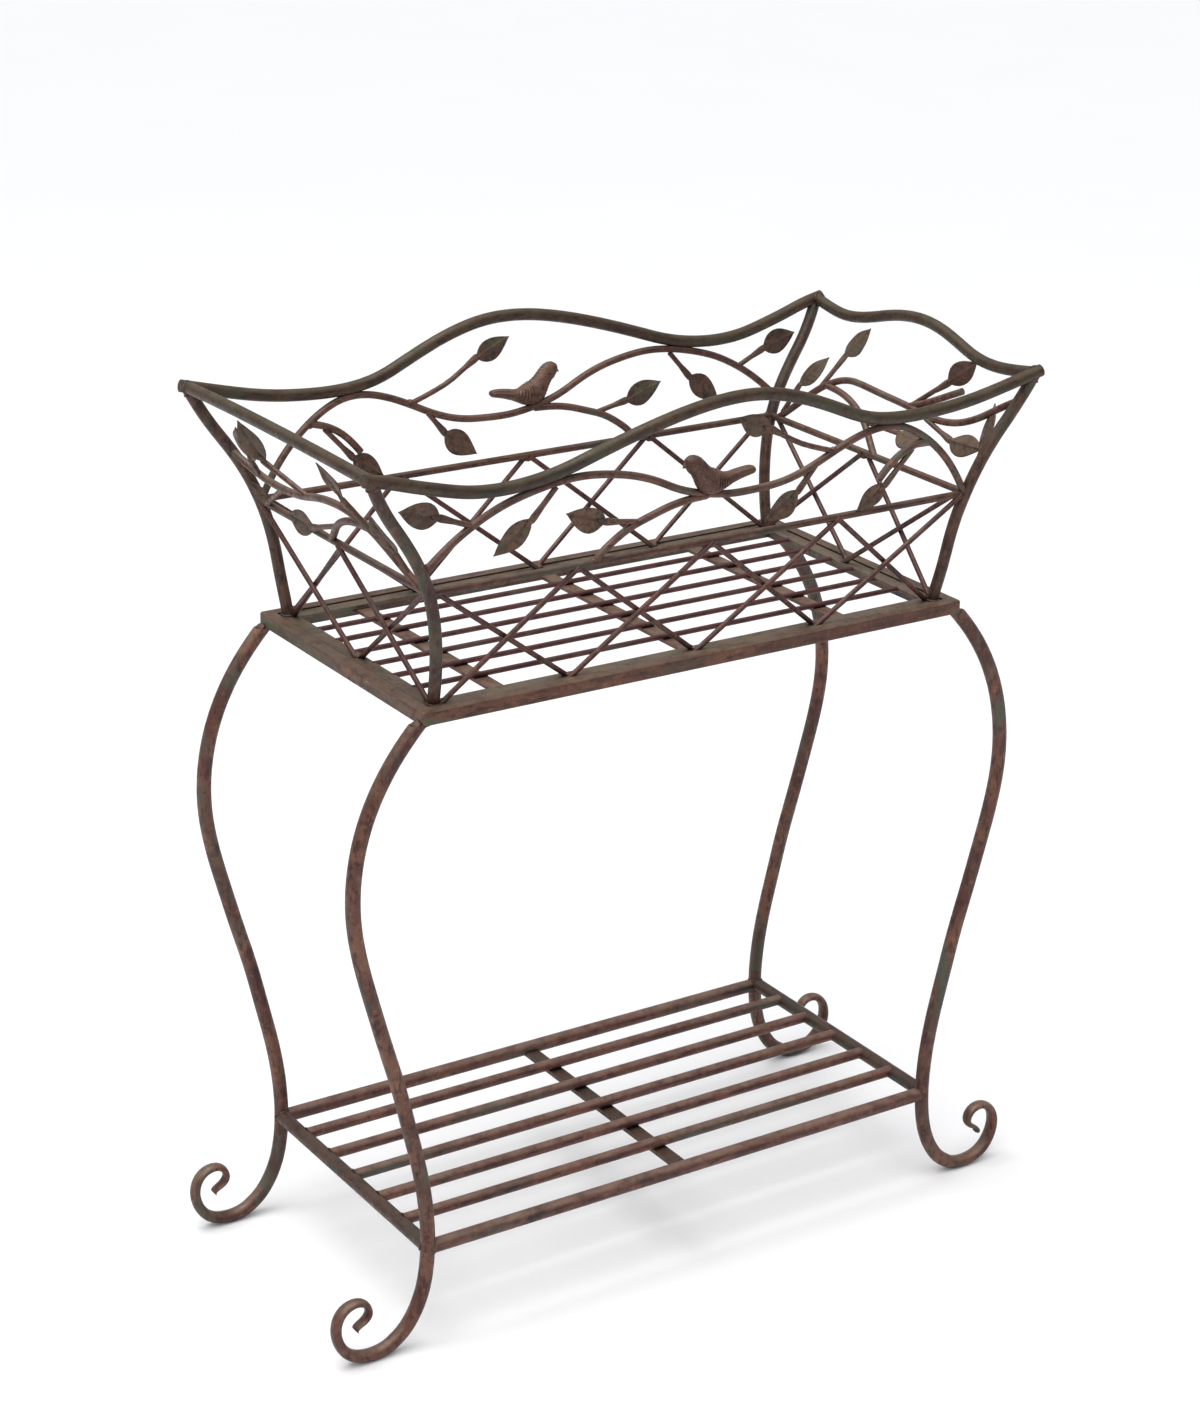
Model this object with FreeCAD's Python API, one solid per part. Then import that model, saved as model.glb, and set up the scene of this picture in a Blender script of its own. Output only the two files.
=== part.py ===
import FreeCAD, Part
import os, math

# Plant stand with a flared wire basket on top and a slatted shelf below.
# Frame: millimetres, +Z up, origin on the floor under the centre of the stand.
# X runs along the long side, the front is at -Y, the left is at -X.

os.makedirs("parts", exist_ok=True)
V = FreeCAD.Vector

# ---------------------------------------------------------------- dimensions
# top frame, square tube
FRAME_L = 560.0          # outer length
FRAME_D = 292.6          # outer depth
FRAME_T = 12.0           # tube size
FRAME_WALL = 1.5
FRAME_TOP = 597.4        # height of the upper face
FRAME_CORNER_R = 4.0

# tray ring, angle section, nested inside the top frame
RING_GAP = 1.6           # clearance line between frame and ring
RING_W = 13.2            # width of the flat flange
RING_H = 13.0            # height of the upright flange
RING_T = 3.0
RING_TOP = 596.4

# tray slats and straps
TRAY_SLAT_D = 4.8
TRAY_SLAT_PITCH = 33.6
TRAY_SLAT_N = 6
TRAY_SLAT_Z = 594.9
TRAY_STRAP_X = (-189.0, 3.0, 166.0)
TRAY_STRAP_W = 14.0
TRAY_STRAP_T = 3.0

# basket posts: height, half length, half depth of the flared side surfaces
FLARE = [(597.7, 260.2, 128.5), (629.4, 262.3, 136.6), (666.8, 266.5, 142.7),
         (701.3, 275.5, 148.0), (741.4, 295.4, 152.3), (778.8, 320.7, 157.3),
         (805.8, 334.9, 162.5)]
POST_D = 10.7
RIM_D = 10.7
MID_D = 6.5
MID_Z = 700.0
VINE_D = 6.6
STEM_D = 4.8
LATTICE_D = 4.7
LATTICE_GAP = 0.15
LEAF_T = 1.8

# legs
LEG_D = 13.2
LEG_WALL = 1.5
LEG_Y = 138.3
LEG_PATH = [(273.0, 592.0), (285.9, 578.4), (311.5, 544.9), (329.2, 509.7), (340.1, 468.8),
            (342.3, 426.1), (336.4, 385.2), (325.6, 342.9), (314.0, 301.4),
            (302.0, 259.9), (291.6, 217.3), (281.7, 174.1), (275.1, 130.3),
            (274.3, 85.0), (283.1, 43.2), (308.2, 11.2)]
SCROLL_PATH = [(308.2, 11.2), (323.5, 5.4), (339.8, 6.0), (354.5, 13.5), (363.2, 27.5),
               (365.0, 42.5), (359.3, 55.4), (347.5, 61.0), (336.6, 57.2), (333.0, 49.0),
               (337.5, 41.5), (346.0, 33.5)]

# shelf
SHELF_RAIL_D = 13.2
SHELF_RAIL_Z = 95.0
SHELF_END_D = 13.2
SHELF_END_Z = 96.6
SHELF_SLAT_D = 10.6
SHELF_SLAT_WALL = 1.2
SHELF_SLAT_Z = 98.5
SHELF_SLAT_Y = (-91.0, -45.5, 0.0, 45.5, 91.0)
SHELF_X = 274.3
SHELF_STRAP_W = 14.0
SHELF_STRAP_T = 4.0


# ---------------------------------------------------------------- path tools
def flare(z):
    """half length and half depth of the side surfaces at a height"""
    F = FLARE
    if z <= F[0][0]:
        a, b = F[0], F[1]
    elif z >= F[-1][0]:
        a, b = F[-2], F[-1]
    else:
        for i in range(len(F) - 1):
            if F[i][0] <= z <= F[i + 1][0]:
                a, b = F[i], F[i + 1]
                break
    t = (z - a[0]) / (b[0] - a[0])
    return a[1] + t * (b[1] - a[1]), a[2] + t * (b[2] - a[2])


def tangents(P):
    """unit tangents of the natural cubic spline through the points"""
    n = len(P)
    if n == 2:
        t = (P[1] - P[0]).normalize()
        return [V(t), V(t)]
    h = [(P[i + 1] - P[i]).Length for i in range(n - 1)]
    out = [[0.0] * 3 for _ in range(n)]
    for c in range(3):
        y = [p[c] for p in P]
        # second derivatives by the tridiagonal system
        a = [0.0] * n
        b = [1.0] * n
        cc = [0.0] * n
        d = [0.0] * n
        for i in range(1, n - 1):
            a[i] = h[i - 1]
            b[i] = 2 * (h[i - 1] + h[i])
            cc[i] = h[i]
            d[i] = 6 * ((y[i + 1] - y[i]) / h[i] - (y[i] - y[i - 1]) / h[i - 1])
        for i in range(1, n):
            w = a[i] / b[i - 1]
            b[i] -= w * cc[i - 1]
            d[i] -= w * d[i - 1]
        m = [0.0] * n
        m[-1] = d[-1] / b[-1]
        for i in range(n - 2, -1, -1):
            m[i] = (d[i] - cc[i] * m[i + 1]) / b[i]
        for i in range(n - 1):
            out[i][c] = (y[i + 1] - y[i]) / h[i] - h[i] * (2 * m[i] + m[i + 1]) / 6
        out[n - 1][c] = (y[-1] - y[-2]) / h[-1] + h[-1] * (m[-2] + 2 * m[-1]) / 6
    return [V(*o).normalize() for o in out]


def arc_edge(p, t, q):
    """arc from p, leaving along t, to q; a straight line if nearly flat"""
    c = q - p
    n = c - t * c.dot(t)
    if n.Length < 1e-3 * c.Length:
        return Part.LineSegment(p, q).toShape()
    n.normalize()
    r = c.dot(c) / (2 * c.dot(n))
    o = p + n * r
    m = ((p - o) + (q - o)).normalize()
    return Part.Arc(p, o + m * r, q).toShape()


def path(P):
    """wire of tangent arcs through the points"""
    T = tangents(P)
    edges = []
    for i in range(len(P) - 1):
        p0, p1, t0, t1 = P[i], P[i + 1], T[i], T[i + 1]
        v = p1 - p0
        t = t0 + t1
        k = 2 * (1 - t0.dot(t1))
        if k < 1e-7:
            d = v.dot(v) / (2 * v.dot(t))
        else:
            d = (-v.dot(t) + math.sqrt(v.dot(t) ** 2 + k * v.dot(v))) / k
        pm = (p0 + p1 + (t0 - t1) * d) * 0.5
        if (pm - p0).Length > 0.2:
            edges.append(arc_edge(p0, t0, pm))
        # second arc is found backwards from its end tangent
        e = arc_edge(p1, t1 * -1, pm)
        if isinstance(e.Curve, Part.Line) or e.Curve.TypeId == "Part::GeomLine":
            edges.append(Part.LineSegment(pm, p1).toShape())
        else:
            mid = e.valueAt((e.FirstParameter + e.LastParameter) / 2)
            edges.append(Part.Arc(pm, mid, p1).toShape())
    return Part.Wire(edges), T


def rod(P, d, bore=0.0):
    """round rod or tube along tangent arcs"""
    P = [V(*p) for p in P]
    if len(P) == 2:
        s = Part.makeCylinder(d / 2, (P[1] - P[0]).Length, P[0], P[1] - P[0])
        if bore:
            s = s.cut(Part.makeCylinder(bore / 2, (P[1] - P[0]).Length, P[0], P[1] - P[0]))
        return s
    w, T = path(P)
    c = Part.Wire([Part.makeCircle(d / 2, P[0], T[0])])
    s = w.makePipeShell([c], True, False)
    want = math.pi * d * d / 4 * w.Length
    if not s.isValid() or abs(s.Volume / want - 1) > 0.01:
        print("check rod", s.isValid(), s.Volume / want)
    if bore:
        ci = Part.Wire([Part.makeCircle(bore / 2, P[0], T[0])])
        s = s.cut(w.makePipeShell([ci], True, False))
    return s


def ellipse_wire(c, u, v, a, b):
    """ellipse about c with half axes a along u and b along v"""
    if abs(a - b) < 0.02:
        b = a - 0.02
    if a >= b:
        e = Part.Ellipse(c + u * a, c + v * b, c)
    else:
        e = Part.Ellipse(c + v * b, c - u * a, c)
    return Part.Wire([e.toShape()])


def export(name, shape):
    solids = shape.Solids
    if len(solids) == 1:
        shape = solids[0]
    else:
        shape = Part.makeCompound(solids)
    bb = shape.BoundBox
    print("%-26s solids %2d valid %s vol %9.1f  x %7.1f %7.1f  y %7.1f %7.1f  z %6.1f %6.1f" % (
        name, len(solids), shape.isValid(), shape.Volume, bb.XMin, bb.XMax, bb.YMin, bb.YMax, bb.ZMin, bb.ZMax))
    shape.exportStep("parts/%s.step" % name)


def biggest(s):
    """keep the main solid after a trim"""
    return sorted(s.Solids, key=lambda q: q.Volume)[-1]


def trim(s, *tools):
    for t in tools:
        s = s.cut(t)
    return biggest(s)


# ---------------------------------------------------------------- top frame
def prism(pts, z0, z1):
    w = Part.makePolygon([V(x, y, z0) for x, y in pts] + [V(pts[0][0], pts[0][1], z0)])
    return Part.Face(w).extrude(V(0, 0, z1 - z0))


def mitred(side, L, D, t, z0, z1, gap=0.0):
    """one mitred side of a rectangular ring of outer size L x D and width t"""
    x, y = L / 2, D / 2
    if side == "front":
        return prism([(-x, -y), (x, -y), (x - t, -y + t), (-x + t, -y + t)], z0, z1)
    if side == "rear":
        return prism([(-x, y), (-x + t, y - t), (x - t, y - t), (x, y)], z0, z1)
    if side == "left":
        return prism([(-x, -y), (-x + t, -y + t), (-x + t, y - t), (-x, y)], z0, z1)
    return prism([(x, -y), (x, y), (x - t, y - t), (x - t, -y + t)], z0, z1)


def rounded_block(L, D, z0, z1, r, e):
    b = Part.makeBox(L, D, z1 - z0, V(-L / 2, -D / 2, z0))
    up = [k for k in b.Edges if abs(k.BoundBox.ZLength - (z1 - z0)) < 1e-6]
    b = b.makeFillet(r, up)
    rim = [k for k in b.Edges if k.BoundBox.ZLength < 1e-6]
    return b.makeFillet(e, rim)


frame_skin = rounded_block(FRAME_L, FRAME_D, FRAME_TOP - FRAME_T, FRAME_TOP, FRAME_CORNER_R, 1.6)
frame = {}
for side in ("front", "rear", "left", "right"):
    s = mitred(side, FRAME_L, FRAME_D, FRAME_T, FRAME_TOP - FRAME_T, FRAME_TOP)
    s = s.common(frame_skin)
    inner = mitred(side, FRAME_L - 2 * FRAME_WALL, FRAME_D - 2 * FRAME_WALL, FRAME_T - 2 * FRAME_WALL,
                   FRAME_TOP - FRAME_T + FRAME_WALL, FRAME_TOP - FRAME_WALL)
    s = s.cut(inner)
    frame[side] = biggest(s)
    export("top_frame_" + side, frame[side])

# ---------------------------------------------------------------- tray ring
RL = FRAME_L - 2 * FRAME_T - 2 * RING_GAP
RD = FRAME_D - 2 * FRAME_T - 2 * RING_GAP
ring = {}
for side in ("front", "rear", "left", "right"):
    flat = mitred(side, RL, RD, RING_W, RING_TOP - RING_T, RING_TOP)
    wall = mitred(side, RL, RD, RING_T, RING_TOP - RING_H, RING_TOP)
    ring[side] = biggest(flat.fuse(wall).removeSplitter())
    export("tray_ring_" + side, ring[side])

# ---------------------------------------------------------------- posts, rims, mid rails
SGN = {"front_left": (-1, -1), "front_right": (1, -1), "rear_left": (-1, 1), "rear_right": (1, 1)}
below_ring = Part.makeBox(700, 400, 60, V(-350, -200, RING_TOP - 60))

# wave of the rim: distance along the side, height
RIM_LONG_D = RIM_D + 0.4
RIM_FRONT = [(-340.4, 807.0), (-318, 802), (-298, 796), (-271, 788.5), (-245, 782.5), (-214, 780), (-185, 782),
             (-159, 787), (-126, 797.5), (-85, 810.5), (-45, 821), (0, 828), (35, 827.5), (80, 817),
             (120, 801.5), (150, 790), (177, 785), (205, 784), (230, 785.3), (255, 788), (280, 792.5), (305, 798.3),
             (340.4, 807.2)]
RIM_LEFT = [(-162.5, 805.8), (-98, 807.6), (0, 808.8), (98, 808), (162.5, 805.8)]
RIM_RIGHT = [(-162.5, 805.8), (-140, 802.4), (-110, 800), (-82, 802), (-50, 808.9), (-20, 814.8), (10, 816.8),
             (45, 812.8), (80, 804), (110, 800), (140, 802.4), (162.5, 805.8)]


def on_front(h, z, out=0.0):
    return (h, -(flare(z)[1] + out), z)


def on_rear(h, z, out=0.0):
    return (-h, flare(z)[1] + out, z)


def on_left(h, z, out=0.0):
    return (-(flare(z)[0] + out), h, z)


def on_right(h, z, out=0.0):
    return (flare(z)[0] + out, h, z)


SURF = {"front": on_front, "rear": on_rear, "left": on_left, "right": on_right}
rim = {}
for side, W in (("front", RIM_FRONT), ("rear", RIM_FRONT)):
    P = [SURF[side](h, z) for h, z in W]
    # the long rims are a little thicker and run past the corners, where the short rims and the posts butt on them
    rim[side] = rod(P, RIM_LONG_D).Solids[0]
for side, W in (("left", RIM_LEFT), ("right", RIM_RIGHT)):
    P = [SURF[side](h, z) for h, z in W]
    rim[side] = trim(rod(P, RIM_D), rim["front"], rim["rear"])
for side in rim:
    export("rim_" + side, rim[side])

post = {}
for name, (sx, sy) in SGN.items():
    P = [(sx * 260.0, sy * 126.6, 590.0)] + [(sx * x, sy * y, z) for z, x, y in FLARE]
    s = rod(P, POST_D)
    post[name] = trim(s, below_ring, rim["front" if sy < 0 else "rear"], rim["left" if sx < 0 else "right"])
    export("basket_post_" + name, post[name])

mx, my = flare(MID_Z)
mid = {"front": rod([(-mx, -my, MID_Z), (mx, -my, MID_Z)], MID_D),
       "rear": rod([(-mx, my, MID_Z), (mx, my, MID_Z)], MID_D),
       "left": rod([(-mx, -my, MID_Z), (-mx, my, MID_Z)], MID_D),
       "right": rod([(mx, -my, MID_Z), (mx, my, MID_Z)], MID_D)}
allposts = list(post.values())
for side in mid:
    mid[side] = trim(mid[side], *allposts)
    export("mid_rail_" + side, mid[side])

# ---------------------------------------------------------------- lattice of crossed rods
LAT_OFF = LATTICE_D / 2 + LATTICE_GAP / 2
LAT_FOOT = {"x": 259.0, "y": 128.2}


def lattice(side):
    long_side = side in ("front", "rear")
    n = 4 if long_side else 2
    if long_side:
        bot = [-255.0, -129.0, -1.0, 128.0, 255.0]
        top = [-268.0, -134.0, 0.0, 133.0, 268.0]
        foot, head = LAT_FOOT["y"], my
    else:
        bot = [-124.0, 0.0, 124.0]
        top = [-141.0, 0.0, 141.0]
        foot, head = LAT_FOOT["x"], mx
    z0, z1 = RING_TOP, MID_Z - 1.0
    sg = -1 if side in ("front", "left") else 1

    def at(h, z, off):
        t = (z - z0) / (z1 - z0)
        d = foot + t * (head - foot) + off
        if long_side:
            return (h, sg * d, z)
        return (sg * d, h, z)
    out = []
    host = [post[k] for k in post] + [mid[side]] + [below_ring]
    for i in range(n):
        for rising in (True, False):
            off = LAT_OFF if rising else -LAT_OFF
            # the feet of neighbouring rods meet at each node, one rod just inside the other
            a = bot[i] + 0.6 if rising else bot[i + 1] - 0.6
            b = top[i + 1] - 0.6 if rising else top[i] + 0.6
            p, q = V(*at(a, z0, off)), V(*at(b, z1, off))
            u = (q - p).normalize()
            s = rod([tuple(p - u * 6), tuple(q + u * 1.0)], LATTICE_D)
            out.append(trim(s, *host))
    # neighbours at a shared node keep clear of each other
    clean = []
    for s in out:
        for c in clean:
            if s.BoundBox.intersect(c.BoundBox) and s.common(c).Volume > 0.01:
                s = biggest(s.cut(c))
        clean.append(s)
    return clean


lat = {}
for side in ("front", "rear", "left", "right"):
    lat[side] = lattice(side)
    export("lattice_" + side, Part.makeCompound(lat[side]))

# ---------------------------------------------------------------- tray slats and straps
ring_all = list(ring.values())
sl = []
for i in range(TRAY_SLAT_N):
    y = (i - (TRAY_SLAT_N - 1) / 2.0) * TRAY_SLAT_PITCH
    x = RL / 2 - RING_W
    sl.append(trim(rod([(-x - 1, y, TRAY_SLAT_Z), (x + 1, y, TRAY_SLAT_Z)], TRAY_SLAT_D), ring["left"], ring["right"]))
export("tray_slats", Part.makeCompound(sl))
st = []
yy = RD / 2 - RING_T
zt = TRAY_SLAT_Z - TRAY_SLAT_D / 2
for x in TRAY_STRAP_X:
    b = Part.makeBox(TRAY_STRAP_W, 2 * yy, TRAY_STRAP_T, V(x - TRAY_STRAP_W / 2, -yy, zt - TRAY_STRAP_T))
    lug = [Part.makeBox(TRAY_STRAP_W, 11.0, RING_TOP - RING_T - zt, V(x - TRAY_STRAP_W / 2, s, zt)) for s in (-yy, yy - 11.0)]
    b = b.fuse(lug).removeSplitter()
    st.append(biggest(b))
export("tray_straps", Part.makeCompound(st))

# ---------------------------------------------------------------- vines, leaf stems and leaves
# each curve: distance along the side, height
VINES = {
    "front": {
        "left": [(-277, 722), (-257, 739), (-238, 752), (-212, 765), (-186, 773), (-160, 778), (-135, 779.5),
                 (-110, 777), (-88, 772.5), (-62, 763.5), (-38, 752.5), (-12, 744.5)],
        "middle": [(-10, 742.5), (-28, 741.5), (-46, 738.5), (-66, 732.5), (-84, 726), (-100, 716.5), (-112, 706.5), (-118, 699)],
        "right": [(-12, 744.5), (16, 740.5), (41, 740.5), (68, 743), (95, 751), (121, 763), (146, 773), (168, 777.5),
                  (188, 776), (208, 768), (229, 754), (249, 735), (266, 712), (272, 702)],
        "branch": [(222, 759), (206, 754.5), (192, 747), (181, 737), (173, 727.5)],
    },
    "left": {
        "long": [(178, 764), (160, 751.5), (142, 742), (115, 734), (77, 731.5), (33, 736), (-4, 745), (-38, 750.5),
                 (-68, 749.5), (-90, 740), (-109, 725), (-126, 709), (-137, 700)],
        "arc": [(15, 700), (3, 709), (-15, 722), (-38, 733), (-62, 739), (-88, 741)],
    },
    "right": {
        "long": [(-156, 780), (-140, 770), (-121, 757.5), (-103, 750), (-84, 746.5), (-60, 746), (-30, 748), (5, 749.5),
                 (38, 751), (66, 750), (90, 740), (109, 725), (126, 709), (137, 700)],
        "branch": [(-33, 749), (-48, 754.5), (-66, 763), (-86, 773)],
        "arc": [(-15, 700), (-3, 709), (15, 722), (38, 733), (62, 739), (88, 741)],
    },
}
VINES["rear"] = VINES["front"]
# each leaf: tip, base, end of stem, half width on either side of the midrib, turn about the midrib in degrees,
# distance of the plate outward of the side surface
LEAVES = {
    "front": [((-308, 776), (-270, 765), (-240, 753), 11.4, 12.0, 0, 1.0),
              ((-216, 722), (-183, 749), (-161, 774), 10.3, 11.4, 0, 1.0),
              ((-150, 749), (-111, 736), (-78, 730), 12.4, 10.2, 0, 1.0),
              ((12, 810), (47, 795), (74, 780), 11.4, 8.6, 0, 1.0),
              ((54, 709), (85, 732), (102, 752), 12.2, 10.8, 0, 1.0),
              ((151, 703), (180, 723), (207, 752), 9.8, 10.3, 0, 1.0)],
    "left": [((72.0, 797.2), (64.1, 761.9), (23.0, 739.5), 10.4, 12.9, 33, 1.0),
             ((139.6, 721.1), (127.8, 703.0), (76.0, 730.0), 7.3, 5.8, 36, 1.0),
             ((78.5, 708.9), (31.7, 709.2), (-17.0, 722.5), 11.5, 10.5, 25, 4.2),
             ((-69.0, 798.1), (-83.2, 768.5), (-89.0, 739.0), 7.8, 12.9, 7, 1.0),
             ((-116.2, 764.4), (-118.0, 727.9), (-128.0, 703.0), 11.3, 13.3, 10, 1.0),
             ((82.7, 789.2), (105.4, 752.2), (114.0, 733.5), 11.0, 14.5, 2, 1.0)],
    "right": [((-85.2, 798.3), (-61.0, 775.7), (-33.9, 750.0), 10.1, 11.5, 34, 1.0),
              ((-142.8, 736.7), (-100.5, 734.6), (-60.3, 743.7), 12.4, 11.4, -19, 1.0),
              ((-131.5, 773.0), (-144.3, 734.5), (-148.0, 722.0), 10.8, 13.0, -22, 1.0),
              ((69, 796), (88, 768), (96, 736), 10.8, 11.6, 0, 1.0),
              ((-78.4, 725.1), (-31.1, 725.6), (14.5, 724.1), 14.8, 11.7, -44, 1.0),
              ((108, 763), (126, 734), (133, 706), 11.4, 10.6, 0, 1.0)],
}
LEAVES["rear"] = LEAVES["front"]


def local(side, h, z):
    """point on the side surface with its along, up and outward directions"""
    f = SURF[side]
    c = V(*f(h, z))
    e = (V(*f(h + 1, z)) - c).normalize()
    u = (V(*f(h, z + 4)) - V(*f(h, z - 4))).normalize()
    n = (V(*f(h, z, 1)) - c).normalize()
    n = (n - u * n.dot(u)).normalize()
    return c, e, u, n


# half width of a leaf along its midrib, from base to tip, as a share of its widest
LEAF_PROFILE = [(0.10, 0.42), (0.25, 0.84), (0.42, 1.0), (0.58, 0.92), (0.74, 0.66), (0.88, 0.32)]


def leaf(side, L):
    """pointed oval plate, turned about its midrib out of the plane of the side"""
    tip, base, _, w1, w2, turn, out = L
    ch, cz = (tip[0] + base[0]) / 2.0, (tip[1] + base[1]) / 2.0
    c, e, u, n = local(side, ch, cz)
    k = 1.0 / max(0.3, u.z)

    def m(p):
        return c + e * (p[0] - ch) + u * ((p[1] - cz) * k) + n * out
    a, d = m(tip), m(base)
    ax = a - d
    t = V(ax).normalize()
    q = n.cross(t).normalize()
    ca, sa = math.cos(math.radians(turn)), math.sin(math.radians(turn))
    q, n = q * ca + n * sa, n * ca - q * sa
    wires = []
    for w in (w1, -w2):
        pts = [d] + [d + ax * f + q * (w * g) for f, g in LEAF_PROFILE] + [a]
        c2 = Part.BSplineCurve()
        c2.interpolate(pts)
        wires.append(c2.toShape())
    f = Part.Face(Part.Wire(wires))
    s = f.extrude(n * LEAF_T)
    return s, d + n * (LEAF_T / 2)


vine_all = {}
for side in ("front", "rear", "left", "right"):
    host = allposts + [mid[side], rim[side]]
    if side in ("left", "right"):
        host += [rim["front"], rim["rear"]]
    done = []
    vine_all[side] = []
    for key, W in VINES[side].items():
        P = [SURF[side](h, z) for h, z in W]
        s = rod(P, VINE_D)
        s = trim(s, *(host + done))
        done.append(s)
        vine_all[side].append((key, s))
    for key, s in vine_all[side]:
        export("vine_%s_%s" % (side, key), s)
    stems, leaves = [], []
    for L in LEAVES[side]:
        s, foot = leaf(side, L)
        whole = s.Volume
        s = trim(s, *(host + done))
        if s.Volume < 0.9 * whole:
            print("leaf cut back", side, L[0], round(s.Volume / whole, 2))
        for q in leaves:
            if s.common(q).Volume > 0.01:
                s = biggest(s.cut(q))
        leaves.append(s)
    for L, s0 in zip(LEAVES[side], leaves):
        s, foot = leaf(side, L)
        end = V(*SURF[side](L[2][0], L[2][1]))
        t = rod([tuple(foot), tuple(end)], STEM_D)
        t = trim(t, *(host + done + leaves + stems))
        stems.append(t)
    export("leaves_" + side, Part.makeCompound(leaves))
    export("leaf_stems_" + side, Part.makeCompound(stems))
    vine_all[side + "_extra"] = leaves + stems

# ---------------------------------------------------------------- birds
# along the side, height, half height, half thickness, from beak to tail
BIRD = [(-37.8, 775.3, 0.7, 0.7), (-36.0, 775.4, 3.6, 3.2), (-31.5, 775.2, 7.2, 6.2), (-26.0, 772.8, 8.4, 7.2),
        (-19.2, 765.2, 9.2, 8.0), (-12.0, 757.6, 11.4, 9.6), (-3.0, 755.3, 10.3, 8.8), (6.0, 755.5, 6.6, 6.8),
        (14.0, 757.6, 4.9, 5.8), (24.0, 759.7, 4.2, 5.4), (33.0, 760.6, 3.0, 5.2), (36.0, 760.7, 1.6, 3.4)]


def bird(side):
    c, e, u, n = local(side, 0, 757)
    pts = [c + e * h + u * ((z - 757) / u.z) + n * 2.0 for h, z, _, _ in BIRD]
    T = tangents(pts)
    ws = []
    for p, t, (h, z, a, b) in zip(pts, T, BIRD):
        up = (n.cross(t)).normalize()
        ws.append(ellipse_wire(p, up, n, a, b))
    return Part.makeLoft(ws, True, False)


for side in ("front", "rear"):
    s = trim(bird(side), *([q for _, q in vine_all[side]] + vine_all[side + "_extra"]))
    export("bird_" + side, s)

# ---------------------------------------------------------------- legs
above = Part.makeBox(800, 400, 60, V(-400, -200, FRAME_TOP - FRAME_T))


def leg_shape():
    """right front leg about its own plane y = 0"""
    P = [V(x, 0, z) for x, z in LEG_PATH]
    S = [V(x, 0, z) for x, z in SCROLL_PATH]
    T = tangents(P + S[1:])
    n = len(P)
    edges = []
    full = P + S[1:]
    # shaft: tangent arcs down to the start of the scroll
    for i in range(n - 1):
        p0, p1, t0, t1 = full[i], full[i + 1], T[i], T[i + 1]
        v = p1 - p0
        t = t0 + t1
        k = 2 * (1 - t0.dot(t1))
        d = v.dot(v) / (2 * v.dot(t)) if k < 1e-7 else (-v.dot(t) + math.sqrt(v.dot(t) ** 2 + k * v.dot(v))) / k
        pm = (p0 + p1 + (t0 - t1) * d) * 0.5
        edges.append(arc_edge(p0, t0, pm))
        e = arc_edge(p1, t1 * -1, pm)
        mid_p = e.valueAt((e.FirstParameter + e.LastParameter) / 2)
        if e.Curve.TypeId == "Part::GeomLine":
            edges.append(Part.LineSegment(pm, p1).toShape())
        else:
            edges.append(Part.Arc(pm, mid_p, p1).toShape())
    w = Part.Wire(edges)
    shaft = w.makePipeShell([Part.Wire([Part.makeCircle(LEG_D / 2, P[0], T[0])])], True, False)
    core = w.makePipeShell([Part.Wire([Part.makeCircle(LEG_D / 2 - LEG_WALL, P[0], T[0])])], True, False)
    # scroll: flattened and tapered towards its end
    ws = []
    m = len(S)
    for i in range(m):
        t = T[n - 1 + i]
        f = i / (m - 1.0)
        half_t = LEG_D / 2 - (LEG_D / 2 - 2.3) * f ** 0.8
        half_w = LEG_D / 2 + 0.7 * math.sin(math.pi * min(1.0, 1.4 * f)) - 1.2 * f
        nrm = V(0, 1, 0).cross(t).normalize()
        if i == 0:
            ws.append(Part.Wire([Part.makeCircle(LEG_D / 2, S[0], t)]))
        else:
            ws.append(ellipse_wire(S[i], nrm, V(0, 1, 0), half_t, half_w))
    scroll = Part.makeLoft(ws, True, False)
    print("shaft", shaft.isValid(), shaft.Volume / (math.pi * 36 * w.Length), "core", core.isValid(), "scroll", scroll.isValid(), scroll.Volume)
    s = shaft.fuse(scroll)
    s = s.cut(core)
    # stand the scroll exactly on the floor
    s.translate(V(0, 0, -s.optimalBoundingBox(False, False).ZMin))
    s = s.cut(Part.makeBox(800, 400, 60, V(-400, -200, FRAME_TOP - FRAME_T)))
    s = biggest(s)
    print("leg", s.isValid(), s.Volume, s.optimalBoundingBox(False, False).ZMin)
    return s


base_leg = leg_shape()
leg = {}
for name, (sx, sy) in SGN.items():
    s = base_leg.copy()
    if sx < 0:
        s = s.mirror(V(0, 0, 0), V(1, 0, 0))
    s.translate(V(0, sy * LEG_Y, 0))
    leg[name] = s.Solids[0]
    export("leg_" + name, leg[name])

# ---------------------------------------------------------------- shelf
legs = list(leg.values())
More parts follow.
